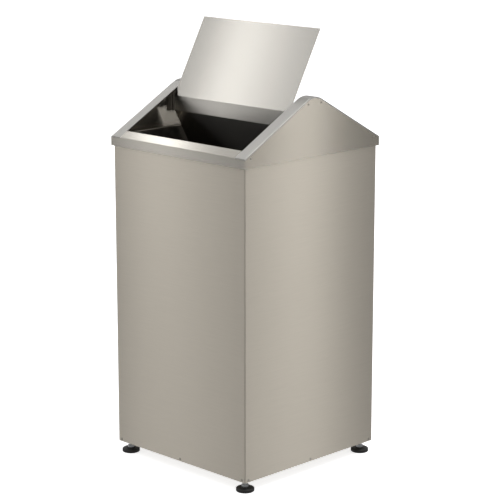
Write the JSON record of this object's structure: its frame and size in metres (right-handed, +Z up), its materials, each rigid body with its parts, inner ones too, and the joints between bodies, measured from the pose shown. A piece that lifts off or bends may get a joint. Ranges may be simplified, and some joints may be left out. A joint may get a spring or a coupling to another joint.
{
  "type": "swing lid waste bin",
  "caption": "Square free-standing waste bin of folded stainless sheet on levelling feet, with a lift-off roof-shaped hood, a flap that swings in it and a lift-out liner.",
  "frame": {"origin": "on the floor under the middle of the bin", "axes": "+X to the right along the flap's pivots, -Y to the front, +Z up"},
  "size_m": [0.4106, 0.409, 0.9563],
  "materials": {
    "stainless_sheet": "brushed along the width, satin",
    "stainless_rivet": "satin",
    "galvanised_sheet": "galvanised, matt",
    "zinc_hardware": "zinc plated",
    "weight_steel": "black lacquer",
    "pad_plastic": "moulded, matt",
    "bush_plastic": "natural nylon"
  },
  "bodies": {
    "body": {"body_wrap": "stainless_sheet", "body_back_panel": "stainless_sheet", "base_pan": "stainless_sheet", "base_rivets": "stainless_rivet", "foot_corner_plates": "stainless_sheet", "foot_weld_nuts": "zinc_hardware", "foot_lock_nuts": "zinc_hardware"},
    "foot_front_left": {"foot_stud_front_left": "zinc_hardware", "foot_pad_front_left": "pad_plastic"},
    "foot_front_right": {"foot_stud_front_right": "zinc_hardware", "foot_pad_front_right": "pad_plastic"},
    "foot_back_left": {"foot_stud_back_left": "zinc_hardware", "foot_pad_back_left": "pad_plastic"},
    "foot_back_right": {"foot_stud_back_right": "zinc_hardware", "foot_pad_back_right": "pad_plastic"},
    "liner": {"liner_wall": "galvanised_sheet", "liner_floor": "galvanised_sheet"},
    "hood": {"hood_front_rail": "stainless_sheet", "hood_back_rail": "stainless_sheet", "hood_rivets": "stainless_rivet", "hood_gable_left": "stainless_sheet", "hood_gable_right": "stainless_sheet", "hood_side_rail_left": "stainless_sheet", "hood_side_rail_right": "stainless_sheet", "pivot_bracket_left": "galvanised_sheet", "pivot_bracket_right": "galvanised_sheet", "pivot_bush_left": "bush_plastic", "pivot_bush_right": "bush_plastic"},
    "flap": {"flap_panel": "stainless_sheet", "flap_weight_front": "weight_steel", "flap_weight_back": "weight_steel", "flap_lug_left": "galvanised_sheet", "flap_lug_right": "galvanised_sheet", "pivot_pin_left": "zinc_hardware", "pivot_pin_right": "zinc_hardware", "pivot_clip_left": "zinc_hardware", "pivot_clip_right": "zinc_hardware", "stop_pin_left": "zinc_hardware", "stop_pin_right": "zinc_hardware"}
  },
  "joints": [
    {"name": "flap_swing", "type": "hinge", "parent": "hood", "child": "flap", "pos_m": [0, 0, 0.77358], "axis": [1, 0, 0], "range_deg": [-180, 0]},
    {"name": "hood_lift", "type": "slide", "parent": "liner", "child": "hood", "axis": [0, 0, 1], "range_m": [0, 0.2]},
    {"name": "liner_lift", "type": "slide", "parent": "body", "child": "liner", "axis": [0, 0, 1], "range_m": [0, 0.7]},
    {"name": "foot_front_left_screw", "type": "slide", "parent": "body", "child": "foot_front_left", "axis": [0, 0, -1], "range_m": [0, 0.012]},
    {"name": "foot_front_right_screw", "type": "slide", "parent": "body", "child": "foot_front_right", "axis": [0, 0, -1], "range_m": [0, 0.012]},
    {"name": "foot_back_left_screw", "type": "slide", "parent": "body", "child": "foot_back_left", "axis": [0, 0, -1], "range_m": [0, 0.012]},
    {"name": "foot_back_right_screw", "type": "slide", "parent": "body", "child": "foot_back_right", "axis": [0, 0, -1], "range_m": [0, 0.012]}
  ]
}
